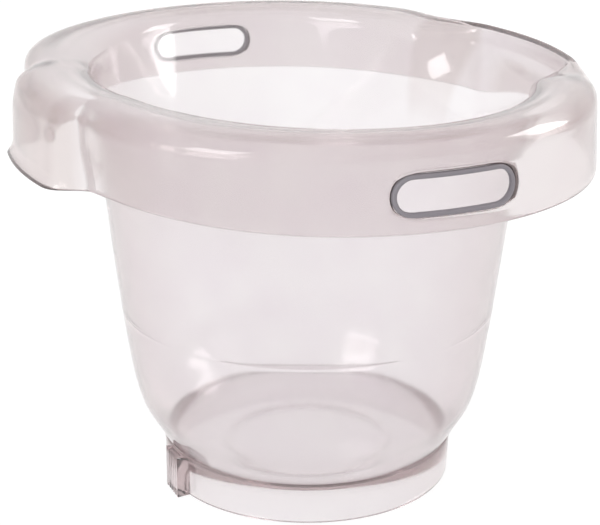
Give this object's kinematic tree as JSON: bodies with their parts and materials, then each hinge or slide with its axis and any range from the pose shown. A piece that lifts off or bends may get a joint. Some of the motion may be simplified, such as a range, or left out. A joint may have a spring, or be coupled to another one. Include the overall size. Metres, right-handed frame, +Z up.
{
  "type": "baby bathtub",
  "caption": "Bucket-shaped baby bath in frosted plastic, with an oval rolled brim, two lined grip slots, a pouring spout and a round foot ring.",
  "frame": {"origin": "on the floor plane under the middle of the foot ring, which is the bottom centre of the bounding box", "axes": "+Z up; +X and -X towards the two grips, along the long side of the oval brim; +Y towards the pouring spout; -Y towards the flat boss of the skirt"},
  "size_m": [0.4564, 0.419, 0.3085],
  "materials": {
    "frosted_plastic": "translucent satin",
    "foot_plastic": "translucent satin",
    "soft_grip": "matt"
  },
  "bodies": {
    "root": {"tub_shell": "frosted_plastic", "foot_ring": "foot_plastic", "grip_ring_front": "soft_grip", "grip_ring_back": "soft_grip"}
  },
  "joints": []
}
